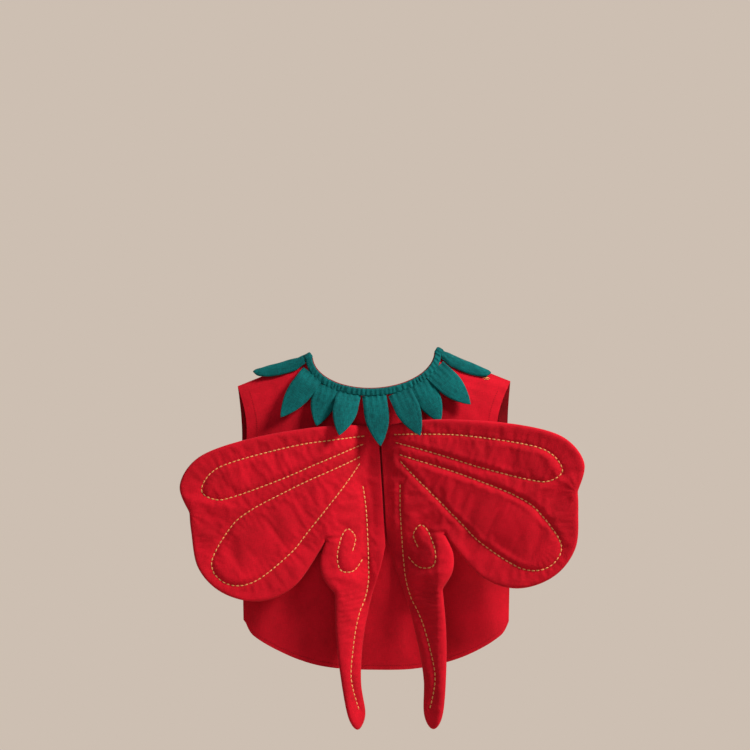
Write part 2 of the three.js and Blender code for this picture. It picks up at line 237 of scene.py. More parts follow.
def inside(points, outline):
    """Which points lie inside a closed outline."""
    x, y = points[:, 0:1], points[:, 1:2]
    x0, y0 = outline[:, 0], outline[:, 1]
    x1, y1 = np.roll(x0, -1), np.roll(y0, -1)
    crosses = (y0 > y) != (y1 > y)
    with np.errstate(divide="ignore", invalid="ignore"):
        at = (x1 - x0) * (y - y0) / (y1 - y0) + x0
    return (crosses & (x < at)).sum(axis=1) % 2 == 1


# ------------------------------------------------------------------ meshes


def make_object(name, points, faces, flat, material):
    """An object from points and flat cloth coordinates in millimetres."""
    mesh = bpy.data.meshes.new(name)
    mesh.from_pydata((np.asarray(points) * MM).tolist(), [], faces)
    corners = np.empty(len(mesh.loops), int)
    mesh.loops.foreach_get("vertex_index", corners)
    layer = mesh.uv_layers.new(name=CLOTH_MAP)
    layer.uv.foreach_set("vector", (np.asarray(flat)[corners] * MM).astype(np.float32).ravel())
    heal(mesh)
    mesh.materials.append(material)
    made = bpy.data.objects.new(name, mesh)
    bpy.context.scene.collection.objects.link(made)
    return made


def heal(mesh):
    """Joins points that coincide, turns every face outwards and smooths the shading."""
    work = bmesh.new()
    work.from_mesh(mesh)
    bmesh.ops.remove_doubles(work, verts=work.verts, dist=1e-5)
    bmesh.ops.dissolve_degenerate(work, edges=work.edges, dist=1e-6)
    bmesh.ops.recalc_face_normals(work, faces=work.faces)
    work.to_mesh(mesh)
    work.free()
    mesh.shade_smooth()
    mesh.set_sharp_from_angle(angle=math.radians(60))


def coordinates(mesh):
    """A mesh's points in millimetres."""
    flat = np.empty(len(mesh.vertices) * 3)
    mesh.vertices.foreach_get("co", flat)
    return flat.reshape(-1, 3) / MM


def grid_faces(rows, columns, wrap=False):
    """The faces of a grid of points, closed round its columns if wrap is set."""
    across = columns if wrap else columns - 1
    faces = []
    for i in range(rows - 1):
        for j in range(across):
            k = (j + 1) % columns
            faces.append((i * columns + j, i * columns + k, (i + 1) * columns + k, (i + 1) * columns + j))
    return faces


def closed_sheet(name, outer, inner, flat, material):
    """A closed thin solid between two grids of points of the same size."""
    rows, columns = outer.shape[:2]
    count = rows * columns
    faces = grid_faces(rows, columns)
    faces += [tuple(count + k for k in reversed(face)) for face in faces]
    index = np.arange(count).reshape(rows, columns)
    rim = np.concatenate([index[0], index[1:, -1], index[-1, -2::-1], index[-2:0:-1, 0]])
    for a, b in zip(rim, np.roll(rim, -1)):
        faces.append((int(a), int(a + count), int(b + count), int(b)))
    points = np.concatenate([outer.reshape(-1, 3), inner.reshape(-1, 3)])
    both = np.concatenate([flat.reshape(-1, 2), flat.reshape(-1, 2)])
    return make_object(name, points, faces, both, material)


# ------------------------------------------------------------------ the tunic's surface


def neck_top(x):
    return mix(NECK["top_left"], NECK["top_right"], clamp01((x / NECK["half"] + 1) / 2))


def shoulder_z(x):
    return neck_top(x) - SHOULDER["slope"] * (np.abs(x) - NECK["half"])


def hem_z(x):
    corner_share = clamp01((np.abs(x) - HEM["corner_x"]) / (SIDE["hem"] - HEM["corner_x"]))
    corner = HEM["corner"] * corner_share ** 2.5
    return HEM["z"] + HEM["rise"] * np.abs(x / SIDE["hem"]) ** HEM["power"] + corner


def top_shift(z):
    return LEAN["shift"] * clamp01((z + LEAN["depth"]) / LEAN["depth"])


def edge_x(z, face, hand):
    """Half width of a panel at height z: its armhole above, its side seam below."""
    tip_z = shoulder_z(SHOULDER["tip"])
    down = clamp01((tip_z - z) / (tip_z - SIDE["armhole_bottom"]))
    straight = mix(SHOULDER["tip"], SIDE["hem"], clamp01((tip_z - z) / (tip_z - HEM["z"])))
    scoop = np.where(np.asarray(hand) < 0, *SCOOPS[face])
    return straight - scoop * np.sin(math.pi * down)


def belly(x, z):
    fall = np.sin((math.pi / 2) * clamp01((shoulder_z(x) - z) / BULGE["reach"]))
    closed = mix(1, BULGE["open"], smooth((z - SIDE["armhole_bottom"]) / BULGE["fade"]))
    across = 1 - closed * clamp01(np.abs(x) / SHOULDER["tip"]) ** 3
    return BULGE["depth"] * fall * across + BULGE["seam"]


def on_panel(face, x, z, out):
    return np.stack([x + top_shift(z), face * (belly(x, z) + out), z + 0 * x], axis=-1)


def neck_drop(face):
    return NECK["back_drop"] if face < 0 else NECK["front_drop"]


def neck_edge(face, turn):
    """Points of the neck edge and the direction away from it: turn 0 right, 1 left."""
    angle = math.pi * np.asarray(turn, float)
    x = NECK["half"] * np.cos(angle)
    z = neck_top(x) - neck_drop(face) * np.sin(angle)
    away_x = np.cos(angle) / NECK["half"]
    away_z = -np.sin(angle) / neck_drop(face) - 0.007 * np.abs(np.cos(angle))
    length = np.hypot(away_x, away_z)
    return x, z, away_x / length, away_z / length


def neck_distance(face, x, z):
    """About how far a point lies outside the neck edge, and its angle round the neck."""
    a = x / NECK["half"]
    b = (z - neck_top(x)) / neck_drop(face)
    radius = np.hypot(a, b)
    return (radius - 1) * neck_drop(face) / np.maximum(radius, 0.3), np.arctan2(-b, a)


def panel_folds(face, x, z, depth):
    """How far the hanging cloth stands off its plain shape."""
    away, angle = neck_distance(face, x, z)
    wave = ripple(np.stack([x, z], axis=-1), 60, 3.1 + face)
    gathers = 0.8 * np.sin(angle * 44 + 3 * wave) * np.exp(-np.maximum(away, 0) / 16)
    low = smooth((-120 - z) / 240)
    folds = np.sin(x / 17 + 1.3 * face + 0.9 * np.sin(z / 85) + 1.2 * wave) * low
    pull = np.sin((np.abs(x) - 150) / 9.5 + z / 70) * smooth((np.abs(x) - 110) / 40) * smooth((-z - 30) / 40)
    fine = ripple(np.stack([x, z * 0.45], axis=-1), 13, 7.7)
    seam = 1 - np.exp(-(((x - SEAM_X) / 60) ** 2)) * smooth((z + 360) / 40) * (face < 0)
    return (gathers + depth * (0.8 * folds + 0.35 * pull) * seam + 0.45 * fine) * smooth(away / 4 + 1)


def panel_grid(face, columns, rows):
    """Places of a panel's cloth: x, z and how close each is to a sewn edge."""
    u = np.linspace(0, 1, columns)
    share = 0.2
    neck_part = (u >= share) & (u <= 1 - share)
    edge = neck_edge(face, 1 - (u - share) / (1 - 2 * share))
    part = np.minimum(u, 1 - u) / share
    shoulder_x = np.sign(u - 0.5) * mix(SHOULDER["tip"], NECK["half"], part)
    top_x = np.where(neck_part, edge[0], shoulder_x)
    top_z = np.where(neck_part, edge[1], shoulder_z(shoulder_x))
    hand = np.sign(u - 0.5)
    across = top_x / edge_x(top_z, face, hand)
    w = np.linspace(1, 0, rows)[:, None]
    z = mix(top_z, hem_z(across * SIDE["hem"]), (1 - w) ** 1.8)
    edge = edge_x(z, face, hand)
    x = across * edge
    side = edge - np.abs(x) + 60 * smooth((z - SIDE["armhole_bottom"] + 6) / 30)
    top = shoulder_z(x) - z + 60 * (np.abs(x) < NECK["half"] - 2)
    return x, z, np.minimum(side, top)


# ------------------------------------------------------------------ materials


def linear(code):
    """An sRGB hex colour as the linear numbers that shading works in."""
    parts = [int(code[i:i + 2], 16) / 255 for i in (1, 3, 5)]
    return tuple(p / 12.92 if p <= 0.04045 else ((p + 0.055) / 1.055) ** 2.4 for p in parts)


def add(tree, kind, inputs=None, **settings):
    """Adds a node with its settings; an input is a value or the socket that feeds it."""
    node = tree.nodes.new(kind)
    for name, value in settings.items():
        setattr(node, name, value)
    for name, value in (inputs or {}).items():
        if isinstance(value, bpy.types.NodeSocket):
            tree.links.new(value, node.inputs[name])
        else:
            node.inputs[name].default_value = value
    return node


def new_material(name):
    material = bpy.data.materials.new(name)
    material.use_nodes = True
    material.node_tree.nodes.clear()
    return material, material.node_tree


def woven_cotton(name, light, shade, thread, slub, sheen):
    """Plain-weave cotton. The weave gives a fine matt grain and painted shade in its pits, the slubs
    short darker and lighter dashes, and the brushed nap a soft pale edge where the cloth turns away."""
    material, tree = new_material(name)
    flat = add(tree, "ShaderNodeUVMap", uv_map=CLOTH_MAP).outputs["UV"]
    # The real threads are 0.3 to 0.5 mm apart; they are drawn 2 to 3 times coarser to show.
    scale = 0.314 / (thread * MM)
    warp = add(tree, "ShaderNodeTexWave", {"Vector": flat, "Scale": scale, "Distortion": 0.8,
               "Detail": 1.0}, bands_direction="X").outputs["Fac"]
    weft = add(tree, "ShaderNodeTexWave", {"Vector": flat, "Scale": scale, "Distortion": 0.8,
               "Detail": 1.0}, bands_direction="Y").outputs["Fac"]
    weave = add(tree, "ShaderNodeMath", {0: warp, 1: weft}, operation="MULTIPLY").outputs["Value"]
    along = add(tree, "ShaderNodeMapping", {"Vector": flat, "Scale": (1400, 130, 1)}).outputs["Vector"]
    over = add(tree, "ShaderNodeMapping", {"Vector": flat, "Scale": (120, 1500, 1)}).outputs["Vector"]
    slub_a = add(tree, "ShaderNodeTexNoise", {"Vector": along, "Scale": 1.0, "Detail": 2.0})
    slub_b = add(tree, "ShaderNodeTexNoise", {"Vector": over, "Scale": 1.0, "Detail": 2.0})
    slubs = add(tree, "ShaderNodeMath", {0: slub_a.outputs["Fac"], 1: slub_b.outputs["Fac"]},
                operation="ADD").outputs["Value"]
    cloudy = add(tree, "ShaderNodeTexNoise", {"Vector": flat, "Scale": 26.0, "Detail": 3.0}).outputs["Fac"]
    grain = add(tree, "ShaderNodeMapRange", {"Value": slubs, "From Min": 0.7, "From Max": 1.3,
                "To Min": -slub, "To Max": slub}).outputs["Result"]
    patch = add(tree, "ShaderNodeMapRange", {"Value": cloudy, "From Min": 0.3, "From Max": 0.7,
                "To Min": 0.15, "To Max": 0.6}).outputs["Result"]
    # Painted shade: the pits between the threads are coloured darker, and the raised crossings a touch
    # lighter.
    pits = add(tree, "ShaderNodeMapRange", {"Value": weave, "To Min": 0.16,
               "To Max": -0.06}).outputs["Result"]
    amount = add(tree, "ShaderNodeMath", {0: grain, 1: patch}, operation="ADD").outputs["Value"]
    amount = add(tree, "ShaderNodeMath", {0: amount, 1: pits}, operation="ADD",
                 use_clamp=True).outputs["Value"]
    colour = add(tree, "ShaderNodeMix", {"Factor": amount, 6: (*light, 1), 7: (*shade, 1)},
                 data_type="RGBA").outputs[2]
    relief = add(tree, "ShaderNodeMath", {0: weave, 1: slubs}, operation="ADD").outputs["Value"]
    creases = add(tree, "ShaderNodeTexNoise", {"Vector": flat, "Scale": 95.0, "Detail": 4.0,
                  "Distortion": 0.6}).outputs["Fac"]
    soft = add(tree, "ShaderNodeBump", {"Height": creases, "Strength": 0.14,
               "Distance": 0.0016}).outputs["Normal"]
    bump = add(tree, "ShaderNodeBump", {"Height": relief, "Strength": 0.35, "Distance": 0.00035,
               "Normal": soft}).outputs["Normal"]
    shader = add(tree, "ShaderNodeBsdfPrincipled", {
        "Base Color": colour, "Roughness": 0.9, "IOR": 1.47, "Specular IOR Level": 0.14,
        "Sheen Weight": sheen, "Sheen Roughness": 0.45, "Normal": bump,
    }).outputs["BSDF"]
    add(tree, "ShaderNodeOutputMaterial", {"Surface": shader})
    return material


def embroidery_thread(name, light, shade):
    """Six-strand mercerised cotton. The twist gives slanting strands with a soft gleam, and painted shade
    between them.
    """
    material, tree = new_material(name)
    flat = add(tree, "ShaderNodeUVMap", uv_map=CLOTH_MAP).outputs["UV"]
    turned = add(tree, "ShaderNodeMapping", {"Vector": flat, "Rotation": (0, 0, 0.6)}).outputs["Vector"]
    # A strand every 0.6 mm, about twice the real one, so that the twist shows.
    twist = add(tree, "ShaderNodeTexWave", {"Vector": turned, "Scale": 520.0, "Distortion": 0.4},
                bands_direction="X").outputs["Fac"]
    fuzz = add(tree, "ShaderNodeTexNoise", {"Vector": flat, "Scale": 700.0, "Detail": 2.0}).outputs["Fac"]
    amount = add(tree, "ShaderNodeMath", {0: twist, 1: fuzz}, operation="MULTIPLY").outputs["Value"]
    # Painted shade: the thread is coloured darker between its twisted strands, and the fuzz varies it at
    # random.
    colour = add(tree, "ShaderNodeMix", {"Factor": amount, 6: (*shade, 1), 7: (*light, 1)},
                 data_type="RGBA").outputs[2]
    bump = add(tree, "ShaderNodeBump", {"Height": twist, "Strength": 0.5,
               "Distance": 0.0002}).outputs["Normal"]
    shader = add(tree, "ShaderNodeBsdfPrincipled", {
        "Base Color": colour, "Roughness": 0.5, "IOR": 1.5, "Specular IOR Level": 0.4,
        "Sheen Weight": 0.25, "Sheen Roughness": 0.35, "Normal": bump,
    }).outputs["BSDF"]
    add(tree, "ShaderNodeOutputMaterial", {"Surface": shader})
    return material


def woven_elastic(name, light, shade):
    """White braided elastic tape: ribs of covered rubber along it, crossed by fine threads."""
    material, tree = new_material(name)
    place = add(tree, "ShaderNodeTexCoord").outputs["Object"]
    ribs = add(tree, "ShaderNodeTexWave", {"Vector": place, "Scale": 260.0, "Distortion": 0.5},
               bands_direction="Z").outputs["Fac"]
    cross = add(tree, "ShaderNodeTexWave", {"Vector": place, "Scale": 480.0, "Distortion": 1.0},
                bands_direction="X").outputs["Fac"]
    relief = add(tree, "ShaderNodeMath", {0: ribs, 1: cross}, operation="MULTIPLY").outputs["Value"]
    # Painted shade: the tape is coloured darker between its ribs and its crossing threads.
    colour = add(tree, "ShaderNodeMix", {"Factor": relief, 6: (*shade, 1), 7: (*light, 1)},
                 data_type="RGBA").outputs[2]
    bump = add(tree, "ShaderNodeBump", {"Height": relief, "Strength": 0.5,
               "Distance": 0.0004}).outputs["Normal"]
    shader = add(tree, "ShaderNodeBsdfPrincipled", {
        "Base Color": colour, "Roughness": 0.75, "Normal": bump}).outputs["BSDF"]
    add(tree, "ShaderNodeOutputMaterial", {"Surface": shader})
    return material


def painted_floor(name, light, shade):
    """Matt paint, rolled on: a faint cloudiness and an orange-peel grain."""
    material, tree = new_material(name)
    place = add(tree, "ShaderNodeTexCoord").outputs["Object"]
    cloud = add(tree, "ShaderNodeTexNoise", {"Vector": place, "Scale": 1.5, "Detail": 3.0}).outputs["Fac"]
    peel = add(tree, "ShaderNodeTexNoise", {"Vector": place, "Scale": 400.0}).outputs["Fac"]
    colour = add(tree, "ShaderNodeMix", {"Factor": cloud, 6: (*shade, 1), 7: (*light, 1)},
                 data_type="RGBA").outputs[2]
    bump = add(tree, "ShaderNodeBump", {"Height": peel, "Strength": 0.1, "Distance": 0.001}).outputs["Normal"]
    shader = add(tree, "ShaderNodeBsdfPrincipled", {
        "Base Color": colour, "Roughness": 0.85, "Normal": bump}).outputs["BSDF"]
    add(tree, "ShaderNodeOutputMaterial", {"Surface": shader})
    return material


def red_cotton():
    tints = bpy.context.scene.tunic_colours
    name = "red cotton poplin, woven"
    return bpy.data.materials.get(name) or woven_cotton(name, tints.red, tints.red_shade, 1.0, 0.3, 0.03)


# Painted shade: a darker copy of the red cotton, for the facings inside the neck and armholes and the tape
# under the wings; the machine stitches take it too.
def painted_shade_red_cotton():
    tints = bpy.context.scene.tunic_colours
    name = "red cotton with painted shade, woven"
    return bpy.data.materials.get(name) or woven_cotton(
        name, tints.red_shade, tints.facing, 1.0, 0.25, 0.05)


def green_cotton():
    tints = bpy.context.scene.tunic_colours
    name = "green slub cotton, brushed"
    return bpy.data.materials.get(name) or woven_cotton(name, tints.green, tints.green_shade, 1.2, 0.55, 0.01)


def gold_thread():
    tints = bpy.context.scene.tunic_colours
    name = "gold cotton thread, twisted"
    return bpy.data.materials.get(name) or embroidery_thread(name, tints.gold, tints.gold_shade)


# ------------------------------------------------------------------ leaves


def leaf_half_width(share, blunt=0.8):
    swell = np.sin((math.pi / 2) * clamp01(share / 0.66)) * (LEAF["width"] - LEAF["root"])
    taper = np.cos((math.pi / 2) * clamp01((share - 0.3) / 0.7)) ** blunt
    return np.maximum(LEAF["tip"], (LEAF["root"] + swell) * taper) / 2


def make_leaf(name, place, length, seed, sizes, blunt):
    """One turned-through leaf; place carries share, across and lift to space."""
    share = 1 - np.linspace(1, 0, 46)[:, None] ** 1.2
    a = np.sin(np.linspace(-1, 1, 23) * math.pi / 2)[None, :]
    hangs = blunt > 0.6
    start = 0.965 if hangs else 0.9
    round_tip = np.sqrt(np.clip(1 - (np.maximum(share - start, 0) / (1.002 - start)) ** 2, 0.0004, 1))
    root_spread = 0.8 * (1 - smooth(share / 0.3))
    across = a * (leaf_half_width(share, blunt) + root_spread) * round_tip
    flat = np.stack([across + 0 * share, share * length + 0 * a], axis=-1)
    thick = sizes.leaf_thickness / MM / 2
    ridge = 0.38 * np.exp(-(((np.abs(a) - 0.84) / 0.1) ** 2)) * round_tip
    half = (thick * np.sqrt(np.clip(1 - np.abs(a) ** 8, 0, 1)) + ridge * (np.abs(a) < 0.999)) * round_tip
    pleats = np.cos(13 * a + seed) * np.exp(-share * length / 15)
    cup = -sizes.leaf_cup / MM * a**2 * smooth(share / 0.35) * (1 - 0.5 * share)
    sway = 1.3 * ripple(flat + 37 * seed, 26, seed) + 0.35 * ripple(flat, 7, seed + 5)
    lift = pleats + cup + sway * smooth(share / 0.2)
    run = share - (LEAF_UNDER if hangs else 0) * (1 - share)
    top = place(run, across, lift + half)
    bottom = place(run, across, lift - half)
    leaf = closed_sheet(name, top, bottom, flat + 61 * seed, green_cotton())
    midrib = place(run, 0 * run, 0 * run)[:, 0]
    return leaf


def hanging_place(face, turn, tip, tip_out, layer):
    """How a leaf hangs from the collar over a panel, and its length."""
    x, z, away_x, away_z = neck_edge(face, turn)
    root_x = x + away_x * LEAF["root_down"]
    root_z = z + away_z * LEAF["root_down"]
    root = np.array([root_x + top_shift(root_z), root_z])
    down = np.array(tip, float) - root
    length = float(np.linalg.norm(down))
    down /= length
    power = 0.9 if tip_out > PUSHED_UP else 1.2

    def place(share, across, lift):
        px = root[0] + down[0] * share * length - down[1] * across
        pz = root[1] + down[1] * share * length + down[0] * across
        base = mix(LEAF_INNER + layer, tip_out, np.maximum(share, 0) ** power)
        tuck = (LEAF_INNER + layer - CASING["over"]) * (1 - smooth(share * length / 15))
        return on_panel(face, px - top_shift(pz), pz, base - tuck + lift)

    return place, length


def shoulder_place(hand, length, slope):
    """How a leaf lies over the shoulder's fold."""
    root_x = NECK["half"] + LEAF["root_down"] + SHOULDER_LEAF["gap"]

    def place(share, across, lift):
        ridge = shoulder_z(np.float64(hand * root_x)) + SHOULDER_LEAF["lift"] - slope * share * length
        arch = SHOULDER_LEAF["arch"]
        round_it = (across - SHOULDER_LEAF["back"] * smooth(share / 0.2)) / arch
        angle = np.clip(round_it, -1.35, 1.35)
        beyond = (round_it - angle) * arch
        y = (arch + lift) * np.sin(angle) + beyond * np.cos(angle)
        z = ridge - arch + (arch + lift) * np.cos(angle) - np.abs(beyond) * np.sin(1.35)
        x = hand * (root_x - 1.5 + share * length) + LEAN["shift"] + 0 * across
        return np.stack([x, y, z], axis=-1)

    return place


# ------------------------------------------------------------------ wings


class Hang:
    """Carries a wing from its flat cut to the way it hangs."""

    def __init__(self, side):
        self.data = HANGS[side]
        self.side = self.data["side"]
        self.u = np.linspace(0, 330, 1321)
        angle = self.angle(self.u)
        step = self.u[1]
        middle = (angle[1:] + angle[:-1]) / 2
        self.across = np.concatenate([[0], np.cumsum(np.cos(middle) * step)])
        self.outward = np.concatenate([[0], np.cumsum(np.sin(middle) * step)])

    def angle(self, u):
        d = self.data
        rise = smooth((u - d["strip"]) / 10)
        fall = smooth((u - d["strip"]) / d["roll_out"])
        return np.radians(mix(d["first"], mix(d["rise"], d["end"], fall), rise))

    def rolled(self, u, v):
        roll = math.radians(self.data["roll"])
        high = v - ROLL_PIVOT
        return (u * math.cos(roll) - high * math.sin(roll),
                ROLL_PIVOT + u * math.sin(roll) + high * math.cos(roll))

    def depth(self, u, v):
        """The padded thickness at a point of the flat cut."""
        ru, rz = self.rolled(u, v)
        flat = mix(self.data["strip"], 4, smooth((STAND_OFF["start"] - rz) / 60))
        return SKINS + WADDING * smooth((ru - flat) / 12)

    def carry(self, u, v, deep):
        """Flat cut and depth to the hanging place."""
        ru, z = self.rolled(u, v)
        inner = np.minimum(ru, 0)
        ru = np.maximum(ru, 0)
        across = np.interp(ru, self.u, self.across) + inner
        outward = np.interp(ru, self.u, self.outward)
        angle = self.angle(ru)
        off = (STAND_OFF["out"] * smooth((STAND_OFF["start"] - z) / STAND_OFF["depth"])
               + STAND_OFF["lean"] * np.maximum(0, STAND_OFF["hip"] - z)
               + RIDGE_OUT * (1 - smooth(ru / self.data["ridge"])))
        turned = math.tan(math.radians(self.data["tail_turn"])) * smooth((-235 - z) / 50)
        off = off + turned * np.clip(ru - self.data["tail_line"], -30, 24) * (1 - smooth((ru - 84) / 40))
        return np.stack([
            SEAM_X + self.side * (across + np.sin(angle) * deep),
            WING_Y - outward - off + np.cos(angle) * deep,
            z,
        ], axis=-1)


def stitch_paths(spacing):
    return {name: catmull(points, spacing) for name, points in STITCH_LINES.items()}


def wing_triangles(spacing):
    """The flat cut as triangles along its edge and its quilting: points, faces, and which
    points lie on the edge."""
    outline = np.vstack([catmull(part, spacing)[:-1] for part in WING_CUT])
    dense = np.vstack([catmull(part, 0.8)[:-1] for part in WING_CUT])
    quilting = np.vstack(list(stitch_paths(spacing).values()))
    tangent = np.roll(outline, -1, axis=0) - np.roll(outline, 1, axis=0)
    normal = np.column_stack([-tangent[:, 1], tangent[:, 0]])
    normal /= np.linalg.norm(normal, axis=1)[:, None]
    probe = inside(outline + normal * 0.4, dense).mean()
    normal *= 1 if probe > 0.5 else -1
    rings = [outline]
    for inset in (0.7, 2.6):
        ring = outline + normal * inset
        keep = (nearest(ring, dense)[0] > inset * 0.85) & inside(ring, dense)
        rings.append(ring[keep])
    x = np.arange(-2, 300, spacing)
    y = np.arange(-530, -90, spacing * 0.866)
    gx, gy = np.meshgrid(x, y)
    gx = gx + (np.arange(len(y)) % 2)[:, None] * spacing / 2
    grid = np.column_stack([gx.ravel(), gy.ravel()])
    grid = grid[inside(grid, dense)]
    grid = grid[nearest(grid, dense)[0] > 2.8 + spacing * 0.5]
    quilting = quilting[nearest(quilting, rings[-1])[0] > spacing * 0.4]
    grid = grid[nearest(grid, quilting)[0] > spacing * 0.55]
    every = np.vstack(rings + [quilting, grid])
    count = len(outline)
    edges = [(i, (i + 1) % count) for i in range(count)]
    made = delaunay_2d_cdt([Vector(p) for p in every], edges, [], 1, 1e-4)
    flat = np.array([tuple(p) for p in made[0]])
    return flat, [tuple(f) for f in made[2]], nearest(flat, outline)[0] < 0.05


def quilt_form(hang, flat, on_edge, faces, sizes):
    """The padded wing before it swells: front and back faces that meet at the edge."""
    # The straight edge along the seam, the last piece of the cut, is not rounded.
    dense = np.vstack([catmull(part, 0.8)[:-1] for part in WING_CUT[:-1]])
    lines = np.vstack(list(stitch_paths(1.0).values()))
    edge_gap = nearest(flat, dense)[0]
    stitch_gap = nearest(flat, lines)[0]
    thickness = hang.depth(flat[:, 0], flat[:, 1])
    full = smooth((thickness - SKINS) / WADDING)
    rounding = mix(1.2, sizes.edge_round / MM, full)
    curve = np.sqrt(1 - (1 - np.minimum(edge_gap / rounding, 1)) ** 2)
    curve = np.maximum(curve, 0.5 * (1 - full))
    curve[on_edge] = 0
    sewn = 1 - 0.42 * np.exp(-((stitch_gap / 5.0) ** 2)) * full
    half = thickness / 2 * curve * sewn
    middle = thickness / 2
    swap = np.full(len(flat), -1)
    inner = np.where(~on_edge)[0]
    swap[inner] = len(flat) + np.arange(len(inner))
    swap[on_edge] = np.where(on_edge)[0]
    front = np.column_stack([flat[:, 0], middle - half, flat[:, 1]])
    back = np.column_stack([flat[inner, 0], (middle + half)[inner], flat[inner, 1]])
    every = list(faces) + [tuple(int(swap[k]) for k in reversed(f)) for f in faces]
    sewn_down = (stitch_gap < 0.6) | (flat[:, 0] < 3.0)
    return np.vstack([front, back]), every, np.concatenate([sewn_down, sewn_down[inner]])


def swell(points, faces, pinned, sizes):
    """Lets the wadding push the two skins apart between the lines of quilting."""
    mesh = bpy.data.meshes.new("quilt_form")
    mesh.from_pydata((points * MM).tolist(), [], faces)
    form = bpy.data.objects.new("quilt_form", mesh)
    scene = bpy.context.scene
    scene.collection.objects.link(form)
    form.vertex_groups.new(name="sewn").add(np.where(pinned)[0].tolist(), 1.0, "REPLACE")
    cloth = form.modifiers.new("swell", "CLOTH")
    settings = cloth.settings
    settings.quality = 5
    settings.mass = 0.25
    settings.tension_stiffness = 14
    settings.compression_stiffness = 14
    settings.shear_stiffness = 6
    settings.bending_stiffness = 0.6
    settings.use_pressure = True
    settings.uniform_pressure_force = sizes.pressure
    settings.shrink_min = -sizes.ease
    settings.effector_weights.gravity = 0
    settings.vertex_group_mass = "sewn"
    cloth.collision_settings.use_collision = False
    cloth.point_cache.frame_start = 1
    cloth.point_cache.frame_end = SIM_FRAMES
    for number in range(1, SIM_FRAMES + 1):
        scene.frame_set(number)
    shown = form.evaluated_get(bpy.context.evaluated_depsgraph_get())
    moved = coordinates(shown.to_mesh())
    shown.to_mesh_clear()
    form.modifiers.remove(cloth)
    scene.frame_set(1)
    bpy.data.objects.remove(form)
    shift = moved - points
    # Near its edge the form keeps to the cut, so that the outline stays clean.
    free = smooth(edge_distance(points[:, [0, 2]]) / 14)
    shift[:, [0, 2]] *= mix(0.15, 0.7, free)[:, None]
    shift[:, 1] *= mix(0.12, 1, free)
    far = np.linalg.norm(shift, axis=1, keepdims=True)
    cap = sizes.swell_cap / MM
    return points + shift * np.minimum(1, cap / np.maximum(far, 1e-9))


def subdivided(points, faces):
    """One smooth subdivision of a mesh, as points and faces."""
    mesh = bpy.data.meshes.new("quilt_fine")
    mesh.from_pydata((points * MM).tolist(), [], faces)
    form = bpy.data.objects.new("quilt_fine", mesh)
    bpy.context.scene.collection.objects.link(form)
    level = form.modifiers.new("subdivide", "SUBSURF")
    level.levels = 1
    shown = form.evaluated_get(bpy.context.evaluated_depsgraph_get())
    made = shown.to_mesh()
    fine = coordinates(made)
    quads = [tuple(p.vertices) for p in made.polygons]
    shown.to_mesh_clear()
    bpy.data.objects.remove(form)
    return fine, quads


def crease(points, side, sizes):
    """Puckers along the quilting, and creases at the notch, the inner corner and the hip."""
    flat = points[:, [0, 2]]
    paths = stitch_paths(1.0)
    lines = np.vstack(list(paths.values()))
    gap, index = nearest(flat, lines)
    along = index + 1.5 * ripple(flat, 20, 1.3)
    seed = 2.0 if side == "left" else 9.0
    pucker = np.sin(along * 2 * math.pi / PUCKER_PITCH) * np.exp(-gap / 13) * (1 - np.exp(-gap / 2.5))
    pucker *= 0.6 + 0.8 * ripple(flat, 30, seed)
    wide = ripple(flat * [1.0, 0.35] + flat[:, ::-1] * [0.25, 0], 11, seed)
    r = np.hypot(flat[:, 0] - NOTCH[0], flat[:, 1] - NOTCH[1])
    turn = np.arctan2(flat[:, 1] - NOTCH[1], flat[:, 0] - NOTCH[0])
    notch = np.sin(turn * 11) * np.exp(-r / 24) * smooth(r / 6)
    corner = -np.exp(-(((flat[:, 1] - INNER_CORNER[1] - 3) / 2.6) ** 2))
    corner = corner * smooth((flat[:, 0] - 56) / 14) * smooth((92 - flat[:, 0]) / 6)
    below_hip = STAND_OFF["hip"] - flat[:, 1]
    hip = np.exp(-(((below_hip - 6) / 12) ** 2)) * np.cos(flat[:, 0] * 0.09 - below_hip * 0.85)
    tail = smooth((-340 - flat[:, 1]) / 12) * smooth((flat[:, 1] + 440) / 60)
    rows = np.sin(flat[:, 1] * 2 * math.pi / 7.5 + 2.5 * ripple(flat, 25, seed)) * tail
    stitch = np.exp(-((gap / 1.7) ** 2))
    depth = sizes.pucker / MM * (pucker + 0.55 * wide + 1.3 * notch + 0.9 * hip + 0.5 * rows)
    front = points[:, 1] < 4.2
    rounded = smooth(edge_distance(flat) / 9)
    shift = (-depth * rounded + 1.1 * stitch - 1.6 * corner) * np.where(front, 1, -0.5)
    return points + np.column_stack([0 * shift, shift * thick_share(points, side), 0 * shift])


def edge_distance(flat):
    dense = np.vstack([catmull(part, 1.5)[:-1] for part in WING_CUT])
    return nearest(flat, dense)[0]


def thick_share(points, side):
    """From 0 where the quilting is flat at the seam to 1 where it is fully padded."""
    full = Hang(side).depth(points[:, 0], points[:, 2])
    return 0.35 + 0.65 * smooth((full - SKINS) / WADDING)


